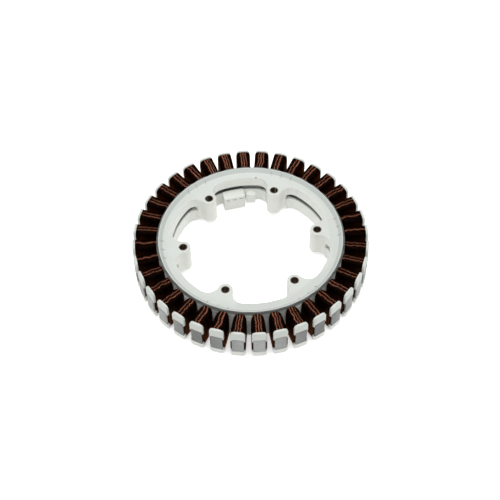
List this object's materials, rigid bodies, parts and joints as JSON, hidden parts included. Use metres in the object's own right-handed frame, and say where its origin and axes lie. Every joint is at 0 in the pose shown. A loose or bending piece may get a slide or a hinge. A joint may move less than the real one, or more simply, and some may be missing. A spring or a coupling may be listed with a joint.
{
  "type": "wound motor stator",
  "caption": "Ring-shaped wound stator of an outer-rotor direct-drive motor: laminated steel teeth, moulded white insulators, enamelled copper coils and a bossed mounting ring.",
  "frame": {"origin": "on the motor's axis, level with the lowest edges of the lower insulator, which the stator rests on", "axes": "+Z along the motor's axis, up through the mounting face; +X through one mounting hole; +Y through the bay that holds the phase connector"},
  "size_m": [0.2648, 0.2648, 0.0413],
  "materials": {
    "electrical_steel": "satin",
    "pin_steel": "satin",
    "insulator_resin": "satin",
    "sleeve_steel": "satin",
    "connector_resin": "satin",
    "terminal_brass": "satin",
    "enamelled_copper": "gloss"
  },
  "bodies": {
    "root": {"stator_core": "electrical_steel", "core_pins": "pin_steel", "upper_insulator": "insulator_resin", "lower_insulator": "insulator_resin", "mount_sleeves": "sleeve_steel", "phase_connector": "connector_resin", "phase_terminals": "terminal_brass", "coil_01": "enamelled_copper", "coil_02": "enamelled_copper", "coil_03": "enamelled_copper", "coil_04": "enamelled_copper", "coil_05": "enamelled_copper", "coil_06": "enamelled_copper", "coil_07": "enamelled_copper", "coil_08": "enamelled_copper", "coil_09": "enamelled_copper", "coil_10": "enamelled_copper", "coil_11": "enamelled_copper", "coil_12": "enamelled_copper", "coil_13": "enamelled_copper", "coil_14": "enamelled_copper", "coil_15": "enamelled_copper", "coil_16": "enamelled_copper", "coil_17": "enamelled_copper", "coil_18": "enamelled_copper", "coil_19": "enamelled_copper", "coil_20": "enamelled_copper", "coil_21": "enamelled_copper", "coil_22": "enamelled_copper", "coil_23": "enamelled_copper", "coil_24": "enamelled_copper", "coil_25": "enamelled_copper", "coil_26": "enamelled_copper", "coil_27": "enamelled_copper", "coil_28": "enamelled_copper", "coil_29": "enamelled_copper", "coil_30": "enamelled_copper", "coil_31": "enamelled_copper", "coil_32": "enamelled_copper", "coil_33": "enamelled_copper", "coil_34": "enamelled_copper", "coil_35": "enamelled_copper", "coil_36": "enamelled_copper"}
  },
  "joints": []
}
